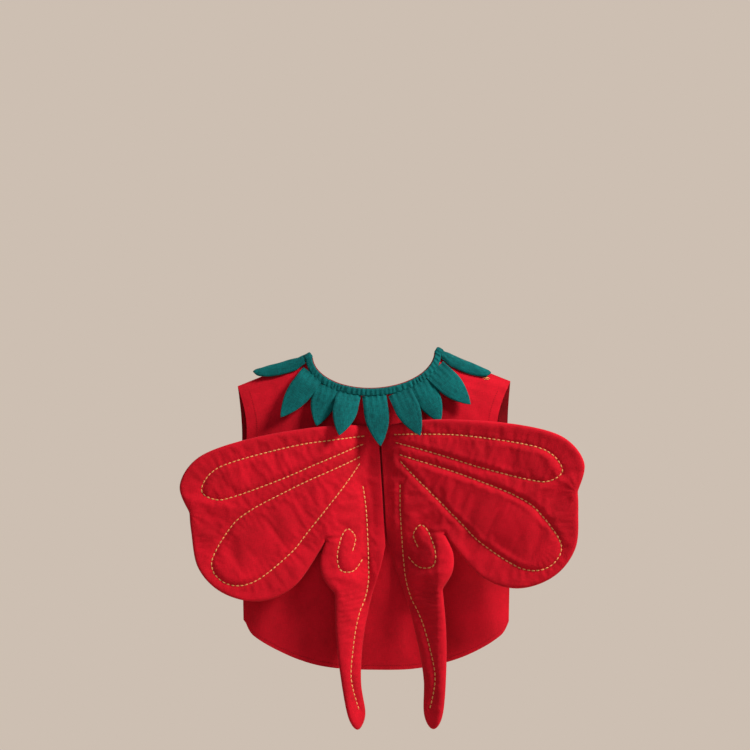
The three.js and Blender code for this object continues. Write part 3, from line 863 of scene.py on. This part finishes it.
def running_stitches(name, side, line, surface, sizes):
    """A line of separate twisted stitches that dip into the cloth at their ends."""
    hang = Hang(side)
    path = catmull(line, STITCH_STEP)
    pitch = sizes.stitch_pitch / MM
    length = sizes.stitch_length / MM
    radius = sizes.stitch_width / MM / 2
    total = (len(path) - 1) * STITCH_STEP
    count = int(total // pitch)
    pitch = total / count
    sections, ring = 9, 10
    points, faces, flat = [], [], []
    for k in range(count):
        wobble = 0.25 * math.sin(7.1 * k + len(line))
        middle = (k + 0.5) * pitch + wobble
        run = np.linspace(-0.5, 0.5, sections) * (length * (1 + 0.08 * math.sin(3.3 * k)))
        start = len(points)
        for i, s in enumerate(run):
            at = min(max((middle + s) / STITCH_STEP, 1), len(path) - 3)
            j = int(at)
            here = mix(path[j], path[j + 1], at - j)
            ahead = path[j + 2] - path[j - 1]
            ahead /= np.linalg.norm(ahead)
            over = np.array([-ahead[1], ahead[0]])
            hit = surface.ray_cast(Vector((here[0], -60, here[1])), Vector((0, 1, 0)))
            deep = hit[0].y if hit[0] else 0
            bow = 1 - (2 * s / length) ** 2
            thin = math.sqrt(max(1 - (2 * s / (length * 1.1)) ** 2, 0.05))
            for a in range(ring):
                angle = 2 * math.pi * a / ring
                rope = 1 + 0.1 * math.cos(2 * angle + s * 3.6)
                wide = math.cos(angle) * radius * thin * rope
                tall = math.sin(angle) * radius * 0.62 * thin * rope
                place = here + over * wide
                points.append((place[0], deep + 0.32 - 0.68 * bow - tall, place[1]))
                flat.append((middle + s, radius * angle))
        for i in range(sections - 1):
            for a in range(ring):
                b = (a + 1) % ring
                faces.append((start + i * ring + a, start + i * ring + b,
                              start + (i + 1) * ring + b, start + (i + 1) * ring + a))
        faces.append(tuple(start + a for a in range(ring)))
        faces.append(tuple(start + (sections - 1) * ring + a for a in reversed(range(ring))))
    points = np.array(points)
    placed = hang.carry(points[:, 0], points[:, 2], points[:, 1])
    made = make_object(name, placed, faces, flat, gold_thread())
    return made


def panel_surface(label):
    """A made panel, to lay stitches on."""
    mesh = bpy.data.objects[f"tunic_{label}"].data
    faces = [tuple(face.vertices) for face in mesh.polygons]
    return BVHTree.FromPolygons([Vector(place) for place in coordinates(mesh)], faces)


def surface_stitch(surface, face, start, end, bend, radius, out):
    """One embroidered stitch on a panel: rings of points, and where they lie on the thread."""
    sections, ring = SURFACE_STITCH
    start, end = np.array(start, float), np.array(end, float)
    ahead = (end - start) / np.linalg.norm(end - start)
    over = np.array([-ahead[1], ahead[0]])
    angle = np.linspace(0, 2 * math.pi, ring, endpoint=False)
    points, flat = [], []
    for t in np.linspace(0, 1, sections):
        bow = 1 - (2 * t - 1) ** 2
        here = start + (end - start) * t + over * bend * bow
        thin = math.sqrt(max(1 - ((2 * t - 1) / 1.05) ** 2, 0.06))
        hit = surface.ray_cast(Vector((here[0], face * 300, here[1])), Vector((0, -face, 0)))
        if hit[0] is None:
            return [], []
        wide = over * (np.cos(angle) * radius * thin)[:, None]
        lift = hit[0].y + face * (out - 0.5 + 0.8 * bow + np.sin(angle) * radius * 0.7 * thin)
        points += list(np.column_stack([here[0] + wide[:, 0], lift, here[1] + wide[:, 1]]))
        flat += list(np.column_stack([0 * angle + t * np.linalg.norm(end - start), radius * angle]))
    return points, flat


def stitch_group(name, stitches, material):
    """Several surface stitches as one object."""
    surfaces = {-1: panel_surface("back"), 1: panel_surface("front")}
    sections, ring = SURFACE_STITCH
    last = (sections - 1) * ring
    one = grid_faces(sections, ring, wrap=True)
    one += [tuple(range(ring)), tuple(last + a for a in reversed(range(ring)))]
    points, faces, flat = [], [], []
    for stitch in stitches:
        more, laid = surface_stitch(surfaces[stitch[0]], *stitch)
        faces += [tuple(len(points) + k for k in side) for side in one if more]
        points += more
        flat += laid
    made = make_object(name, points, faces, flat, material)
    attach(made, "tunic")
    return made


# ------------------------------------------------------------------ settings a user may change


def length(name, description, value, low, high):
    return FloatProperty(name=name, description=description, default=value, min=low, max=high,
                         unit="LENGTH", precision=5)


def colour(name, description, code):
    return FloatVectorProperty(name=name, description=description, default=linear(code), min=0, max=1,
                               size=3, subtype="COLOR")


class TunicSizes(bpy.types.PropertyGroup):
    """Sizes of the cloth, the leaves, the quilting and the stitches."""

    fold_depth: length("Fold depth", "How deep the tunic's hanging folds are", 0.0020, 0, 0.006)
    hem_turn: length("Hem turn", "Distance of the hem's stitches from its edge", 0.006, 0.002, 0.02)
    leaf_thickness: length("Leaf thickness", "Thickness of a leaf of two layers", 0.0022, 0.001, 0.005)
    leaf_cup: length("Leaf cup", "How far a leaf's sides curl down", 0.0018, 0, 0.006)
    edge_round: length("Edge rounding", "How far in the wing's edge is rounded", 0.0055, 0.001, 0.012)
    swell_cap: length("Swell limit", "The most that the wadding moves a skin", 0.0045, 0.001, 0.01)
    pucker: length("Pucker depth", "Depth of the small creases at the quilting", 0.0005, 0, 0.002)
    stitch_pitch: length("Stitch pitch", "Distance from one stitch to the next", 0.0064, 0.003, 0.015)
    stitch_length: length("Stitch length", "Length of one gold stitch", 0.0052, 0.001, 0.01)
    stitch_width: length("Stitch width", "Width of the gold thread", 0.0016, 0.0005, 0.004)
    pressure: FloatProperty(name="Swelling", description="Push of the wadding on its skins",
                            default=4.0, min=0, max=20)
    ease: FloatProperty(name="Ease", description="Share by which a wing's skins are cut too large",
                        default=0.014, min=0, max=0.2)


class TunicColours(bpy.types.PropertyGroup):
    """Colours of the cloths and threads."""

    red: colour("Red", "Red cotton where it is full", "#C80B22")
    red_shade: colour("Deep red", "Red cotton in the pits of its weave", "#9C0917")
    # Painted shade: the darker red for the pieces inside the tunic and under the wings.
    facing: colour("Facing", "Deepest red of the facings", "#6E0C13")
    green: colour("Green", "Green cotton where it is worn pale", "#02605F")
    green_shade: colour("Deep green", "Green cotton in its slubs", "#01393A")
    gold: colour("Gold", "Gold thread on its strands", "#F9B671")
    gold_shade: colour("Deep gold", "Gold thread between its strands", "#C67F3E")
    pale: colour("Pale", "Floor and surroundings", "#CDBFB2")


# ------------------------------------------------------------------ operators


class TUNIC_OT_panels(bpy.types.Operator):
    """Make the back and front panels with their stitched hems and armholes"""

    bl_idname = "tunic.panels"
    bl_label = "Panels"

    def execute(self, context):
        sizes = context.scene.tunic_sizes
        for face, label in ((-1, "back"), (1, "front")):
            x, z, sewn = panel_grid(face, 181, 131)
            out = panel_folds(face, x, z, sizes.fold_depth / MM) * smooth(sewn / 25)
            shut = SEWN_IN["depth"] * (1 - smooth(sewn / SEWN_IN["reach"]))
            turn = (z - hem_z(x)) < sizes.hem_turn / MM
            thick = CLOTH / 2 + 0.3 * turn
            groove = 0.35 * np.exp(-(((z - hem_z(x) - sizes.hem_turn / MM) / 0.9) ** 2))
            outer = on_panel(face, x, z, out - shut + thick - groove)
            inner = on_panel(face, x, z, out - shut - thick)
            inner[..., 1] = face * np.maximum(face * inner[..., 1], 0.05)
            flat = np.stack([x, z], axis=-1)
            flat += FRONT_CLOTH * (face > 0)
            panel = closed_sheet(f"tunic_{label}", outer, inner, flat, red_cotton())
            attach(panel, "tunic")
            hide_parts(f"{label}_panel")
        return {"FINISHED"}


class TUNIC_OT_facings(bpy.types.Operator):
    """Make the facings turned inside the neck and the armholes, and the tape under the wings"""

    bl_idname = "tunic.facings"
    bl_label = "Facings"

    def execute(self, context):
        for face, label in ((-1, "back"), (1, "front")):
            self.neck(face, label)
            for hand, side in ((-1, "left"), (1, "right")):
                self.armhole(face, label, hand, side)
        self.tape()
        return {"FINISHED"}

    def finish(self, piece, node, width, long):
        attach(piece, "tunic")
        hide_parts(node)

    def neck(self, face, label):
        turn = np.linspace(0.02, 0.98, 121)[None, :]
        reach = np.linspace(-2.5, 13, 9)[:, None]
        x, z, away_x, away_z = neck_edge(face, turn)
        px, pz = x + away_x * reach, z + away_z * reach
        wave = 0.25 * np.sin(turn * 150 + 0.4 * reach)
        flat = np.stack([turn * 230 + 0 * reach, reach + 0 * turn], axis=-1)
        outer = on_panel(face, px, pz, -1.95 + wave)
        inner = on_panel(face, px, pz, -2.75 + wave)
        piece = closed_sheet(f"neck_facing_cloth_{label}", outer, inner, flat, painted_shade_red_cotton())
        long = float(np.hypot(np.diff(px[5]), np.diff(pz[5])).sum()) * MM
        self.finish(piece, f"neck_facing_{label}", 0.0155, long)

    def armhole(self, face, label, hand, side):
        tip = shoulder_z(np.float64(hand * SHOULDER["tip"])) - 5
        z = np.linspace(SIDE["armhole_bottom"] + 8, tip, 61)[:, None]
        inwards = np.linspace(0, 13, 7)[None, :]
        x = hand * (edge_x(z, face, hand) - inwards)
        wave = 0.2 * np.sin(z / 5) * (inwards / 13)
        flat = np.stack([inwards + 0 * z, z + 0 * inwards], axis=-1)
        outer = on_panel(face, x, z, -2.2 + wave)
        inner = on_panel(face, x, z, -3.0 + wave)
        piece = closed_sheet(f"armhole_facing_cloth_{side}_{label}", outer, inner, flat, painted_shade_red_cotton())
        self.finish(piece, f"armhole_facing_{side}_{label}", 0.013, float(z[-1, 0] - z[0, 0]) * MM)

    def tape(self):
        low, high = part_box("wing_seam_tape")
        low, high = np.array(low) / MM, np.array(high) / MM
        x = np.linspace(low[0], high[0], 9)[None, :]
        z = np.linspace(low[2], high[2], 81)[:, None]
        fall = np.abs(x - x.mean()) / (high[0] - low[0])
        middle = (low[1] + high[1]) / 2 + 0.1 * np.sin(z / 3)
        half = (high[1] - low[1]) / 2 * (1 - 0.8 * fall**2)
        flat = np.stack([x + 0 * z, z + 0 * x], axis=-1)
        stands = RIDGE_OUT * (1 - 2 * fall) ** 0.7
        outer = np.stack([x + 0 * z, middle - half - stands, z + 0 * x], axis=-1)
        inner = np.stack([x + 0 * z, middle + half, z + 0 * x], axis=-1)
        piece = closed_sheet("wing_tape_cloth", outer, inner, flat, painted_shade_red_cotton())
        self.finish(piece, "wing_seam_tape", float(high[0] - low[0]) * MM, float(high[2] - low[2]) * MM)


class TUNIC_OT_collar(bpy.types.Operator):
    """Make the gathered casing round the neck, and finish the elastic inside it"""

    bl_idname = "tunic.collar"
    bl_label = "Collar"

    def execute(self, context):
        centre, away, out = self.path()
        steps = np.linalg.norm(np.diff(centre, axis=0, append=centre[:1]), axis=1)
        along = np.concatenate([[0], np.cumsum(steps)[:-1]])
        count = CASING["ring"]
        ring = np.linspace(0, 2 * math.pi, count, endpoint=False)[None, :]
        laid = np.stack([along, 0 * along], axis=-1)
        drift = 2.2 * ripple(laid, 24, 4.0) + 0.8 * ripple(laid, 8, 6.0)
        fold = np.sin(along * 2 * math.pi / CASING["pleat"] + 2.2 * drift)
        deep = (0.55 + 0.45 * ripple(laid, 40, 2.0))[:, None]
        pleat = fold[:, None] * deep
        tall = CASING["tall"] + 0.35 * pleat
        outer = CASING["outer"] + 1.5 * pleat * np.sin(ring) + 0.3 * np.cos(2 * ring)
        wide = np.where(np.sin(ring) < 0, CASING["inner"], outer)
        reach = CASING["reach"] + tall * np.cos(ring) * (1 + 0.05 * np.abs(np.sin(ring)))
        lift = CASING["over"] + wide * np.sin(ring) + 0.6 * clamp01(np.cos(ring))
        points = (centre[:, None, :] + away[:, None, :] * reach[..., None]
                  + out[:, None, :] * lift[..., None])
        flat = np.stack([along[:, None] * 1.4 + 0 * ring, ring * 4.2 + 0 * along[:, None]], axis=-1)
        # One more row than there are closes the casing on its first row.
        faces = [tuple(k % (len(along) * count) for k in face)
                 for face in grid_faces(len(along) + 1, count, wrap=True)]
        band = make_object("collar_casing", points.reshape(-1, 3), faces, flat.reshape(-1, 2),
                           green_cotton())
        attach(band, "tunic")
        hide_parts("collar_band_back", "collar_band_front")
        elastic = woven_elastic("white elastic, braided", linear("#F1EEE8"), linear("#C9C4BB"))
        for label in ("back", "front"):
            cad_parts[f"neck_elastic_{label}"].data.materials.clear()
            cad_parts[f"neck_elastic_{label}"].data.materials.append(elastic)
        return {"FINISHED"}

    def path(self):
        """Round the neck: places, directions away from the edge and off the cloth."""
        centre, away, out = [], [], []
        for face, turns in ((-1, np.linspace(0, 1, 190)), (1, np.linspace(1, 0, 220))):
            x, z, away_x, away_z = neck_edge(face, turns)
            y = face * belly(x, z)
            centre += list(np.column_stack([x + top_shift(z), y, z]))
            away += list(np.column_stack([away_x, 0 * x, away_z]))
            out += [(0, face, 0)] * len(x)
            # Over the fold of the shoulder the casing turns from one panel to the other.
            end = centre[-1]
            slope = np.array([away_x[-1], 0, away_z[-1]])
            normal = face * np.array([-slope[2], 0, slope[0]])
            for angle in np.linspace(0, math.pi, 14)[1:-1]:
                turn = face * math.cos(angle)
                up = math.sin(angle)
                centre.append(np.array([end[0], turn * abs(end[1]), end[2]]))
                away.append(slope)
                out.append(normal * up + np.array([0, turn, 0]))
        return np.array(centre), np.array(away), np.array(out, float)


class TUNIC_OT_leaves(bpy.types.Operator):
    """Make the ring of green leaves round the collar"""

    bl_idname = "tunic.leaves"
    bl_label = "Leaves"

    def execute(self, context):
        sizes = context.scene.tunic_sizes
        middle = (len(BACK_LEAVES) - 1) / 2
        for index, (tip, tip_out, layer) in enumerate(BACK_LEAVES):
            turn = 0.5 + (index - middle) * LEAF_TURN
            place, long = hanging_place(-1, turn, tip, tip_out, layer)
            self.finish(f"leaf_back_{index + 1}", place, long, index * 0.83 + 0.4, sizes)
        for index in range(len(BACK_LEAVES)):
            turn = 0.5 + (index - middle) * LEAF_TURN
            x, z, _, _ = neck_edge(1, turn)
            fan = math.radians((index - middle) * FRONT_LEAF["degrees"])
            tip = (x - math.sin(fan) * FRONT_LEAF["reach"] + LEAN["shift"],
                   z - math.cos(fan) * FRONT_LEAF["reach"])
            layer = 0 if index % 2 else FRONT_LEAF["under"]
            place, long = hanging_place(1, turn, tip, FRONT_LEAF["tip_out"], layer)
            self.finish(f"leaf_front_{index + 1}", place, long, index * 0.71 + 6.1, sizes)
        for hand, side, long, slope in ((-1, "left", 74, 0.28), (1, "right", 70, 0.42)):
            place = shoulder_place(hand, long, slope)
            self.finish(f"leaf_shoulder_{side}", place, long, 13.7 + hand, sizes, 0.42)
        return {"FINISHED"}

    def finish(self, node, place, long, seed, sizes, blunt=0.8):
        leaf = make_leaf(f"{node}_cloth", place, long, seed, sizes, blunt)
        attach(leaf, node)
        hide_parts(node)


class TUNIC_OT_wings(bpy.types.Operator):
    """Make both quilted wings with their tails, swollen by their wadding, and their stitches"""

    bl_idname = "tunic.wings"
    bl_label = "Wings"

    def execute(self, context):
        sizes = context.scene.tunic_sizes
        flat, faces, on_edge = wing_triangles(4.6)
        for side in ("left", "right"):
            hang = Hang(side)
            form, every, pinned = quilt_form(hang, flat, on_edge, faces, sizes)
            form = swell(form, every, pinned, sizes)
            fine, quads = subdivided(form, every)
            fine = crease(fine, side, sizes)
            surface = BVHTree.FromPolygons([Vector(p) for p in fine], quads)
            placed = hang.carry(fine[:, 0], fine[:, 2], fine[:, 1])
            laid = fine[:, [0, 2]] + (LEFT_CLOTH if side == "left" else 0)
            wing = make_object(f"wing_{side}_quilt", placed, quads, laid, red_cotton())
            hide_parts(*[f"{part}_{side}_{layer}" for part in ("wing", "tail")
                                for layer in ("outer", "batting", "backing")])
            crossing = self.crossing(hang)
            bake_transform(wing)
            for name, line in STITCH_LINES.items():
                self.stitch(side, name, line, surface, sizes, crossing)
        return {"FINISHED"}

    def crossing(self, hang):
        """Where the wing's hold ends and the tail's begins."""
        u, v = np.array([50.0, 50.0]), np.array([-322.0, -342.0])
        start, end = hang.carry(u, v, np.array([4.0, 4.0])) * MM
        return (start[0], start[1], start[2]), (start[0], start[1], end[2])

    def stitch(self, side, name, line, surface, sizes, crossing):
        piece = running_stitches(f"stitches_{side}_{name}", side, line, surface, sizes)
        if name == "stem":
            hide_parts(f"thread_{side}_stem", f"thread_{side}_tail")
            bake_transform(piece)
        else:
            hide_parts(f"thread_{side}_{name}")
            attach(piece, f"wing_{side}")


class TUNIC_OT_needlework(bpy.types.Operator):
    """Make the machine stitches of the hem and armholes, and the gold seed stitches"""

    bl_idname = "tunic.needlework"
    bl_label = "Needlework"

    def execute(self, context):
        turn = context.scene.tunic_sizes.hem_turn / MM
        stitches = []
        for face in (-1, 1):
            x = np.linspace(-176, 176, 800)
            hem = evenly(np.column_stack([x, hem_z(x) + turn]), 1.0)
            stitches += self.along(face, hem)
            for hand in (-1, 1):
                z = np.linspace(-160, -52, 200)
                edge = np.column_stack([hand * (edge_x(z, face, hand) - 12.5), z])
                stitches += self.along(face, evenly(edge, 1.0))
        stitch_group("machine_stitches", stitches, painted_shade_red_cotton())
        gold = [
            (-1, (149, -37), (159.5, -37.5), 1.6, 0.85, 0.5),
            (-1, (151, -39), (158, -39.3), 1.2, 0.6, 0.4),
            (-1, (-98, -10), (-95, -12), 0.2, 0.7, 2.0),
        ]
        for x, z, lean in ((-70, -205, 0.2), (62, -215, -0.3), (-5, -262, 0.1), (-98, -318, -0.2),
                           (92, -330, 0.25), (14, -372, -0.15), (-130, -150, 0.3), (132, -148, -0.2)):
            down = np.array([math.sin(lean), -math.cos(lean)])
            start = np.array([x, z], float)
            gold.append((1, start, start + 9 * down, 0.9, 0.8, 0.5))
            gold.append((1, start + (1.7, -0.6), start + (1.7, -0.6) + 7.5 * down, -0.9, 0.8, 0.5))
        stitch_group("seed_stitches", gold, gold_thread())
        return {"FINISHED"}

    def along(self, face, line):
        """Machine stitches 2.2 mm long along a line of points 1 mm apart."""
        found = []
        for k in range(0, len(line) - 3, 3):
            ahead = line[k + 2] - line[k]
            x, z = line[k]
            end = line[k] + ahead * 1.1
            shift = top_shift(z)
            found.append((face, (x + shift, z), (end[0] + shift, end[1]), 0, 0.33, 0.15))
        return found


class TUNIC_OT_stage(bpy.types.Operator):
    """Set the pale floor, the soft lights, the surroundings and the camera"""

    bl_idname = "tunic.stage"
    bl_label = "Stage"

    def execute(self, context):
        scene = context.scene
        scene.view_settings.view_transform = "Standard"
        pale = scene.tunic_colours.pale
        self.floor(pale)
        self.world(scene, pale)
        self.light("key", (1.75, -1.1, 1.5), 0.8, 112, (1.0, 0.97, 0.93))
        self.light("fill", (-0.3, -2.6, 0.6), 1.8, 11, (0.96, 0.98, 1.0))
        self.light("overhead", (0.3, -0.4, 2.4), 1.6, 18, (1.0, 0.98, 0.96))
        self.light("behind", (-0.6, 2.3, 1.0), 1.6, 30, (1.0, 0.98, 0.96))
        self.camera(scene)
        return {"FINISHED"}

    def floor(self, pale):
        ring = np.linspace(0, 2 * math.pi, 96, endpoint=False)
        points = np.column_stack([FLOOR["radius"] * np.cos(ring), FLOOR["radius"] * np.sin(ring),
                                  np.full(len(ring), FLOOR["z"])]) / MM
        light, shade = (tuple(min(1.0, c * FLOOR[tint]) for c in pale) for tint in ("light", "shade"))
        paint = painted_floor("pale paint, rolled", light, shade)
        floor = make_object("floor", points, [tuple(range(len(ring)))], points[:, :2], paint)

    def world(self, scene, pale):
        world = bpy.data.worlds.new("soft room")
        world.use_nodes = True
        tree = world.node_tree
        tree.nodes.clear()
        seen = add(tree, "ShaderNodeLightPath").outputs["Is Camera Ray"]
        wall = add(tree, "ShaderNodeBackground", {"Color": (*pale, 1), "Strength": 1.0}).outputs[0]
        room = add(tree, "ShaderNodeBackground", {"Color": (0.95, 0.95, 1.0, 1),
                   "Strength": 0.17}).outputs[0]
        glow = add(tree, "ShaderNodeMixShader", {"Fac": seen, 1: room, 2: wall}).outputs[0]
        add(tree, "ShaderNodeOutputWorld", {"Surface": glow})
        scene.world = world

    def light(self, name, place, size, power, tint):
        data = bpy.data.lights.new(name, "AREA")
        data.shape = "DISK"
        data.size = size
        data.energy = power
        data.color = tint
        lamp = bpy.data.objects.new(name, data)
        lamp.location = place
        lamp.rotation_euler = (Vector(LAMPS_AIM) - Vector(place)).to_track_quat("-Z", "Y").to_euler()
        bpy.context.scene.collection.objects.link(lamp)

    def camera(self, scene):
        data = bpy.data.cameras.new("camera")
        data.sensor_width = 36
        data.lens = 68.571
        eye = bpy.data.objects.new("camera", data)
        eye.location = (-0.0028, -2.0216, -0.0322)
        eye.rotation_euler = (math.radians(90), 0, 0)
        scene.collection.objects.link(eye)
        scene.camera = eye


class TUNIC_PT_sidebar(bpy.types.Panel):
    """The tunic's steps and settings"""

    bl_idname = "TUNIC_PT_sidebar"
    bl_label = "Winged costume tunic"
    bl_space_type = "VIEW_3D"
    bl_region_type = "UI"
    bl_category = "Tunic"

    def draw(self, context):
        layout = self.layout
        for step in STEPS:
            layout.operator(step.bl_idname)
        for group in (context.scene.tunic_sizes, context.scene.tunic_colours):
            for name in group.__annotations__:
                layout.prop(group, name)


STEPS = (
    TUNIC_OT_panels,
    TUNIC_OT_facings,
    TUNIC_OT_collar,
    TUNIC_OT_leaves,
    TUNIC_OT_wings,
    TUNIC_OT_needlework,
    TUNIC_OT_stage,
)
CLASSES = (TunicSizes, TunicColours, *STEPS, TUNIC_PT_sidebar)


def register():
    for made in CLASSES:
        bpy.utils.register_class(made)
    bpy.types.Scene.tunic_sizes = PointerProperty(type=TunicSizes)
    bpy.types.Scene.tunic_colours = PointerProperty(type=TunicColours)


def unregister():
    del bpy.types.Scene.tunic_colours
    del bpy.types.Scene.tunic_sizes
    for made in reversed(CLASSES):
        bpy.utils.unregister_class(made)


def main():
    register()
    bpy.ops.tunic.panels()
    bpy.ops.tunic.facings()
    bpy.ops.tunic.collar()
    bpy.ops.tunic.leaves()
    bpy.ops.tunic.wings()
    bpy.ops.tunic.needlework()
    bpy.ops.tunic.stage()


if __name__ == "__main__":
    main()
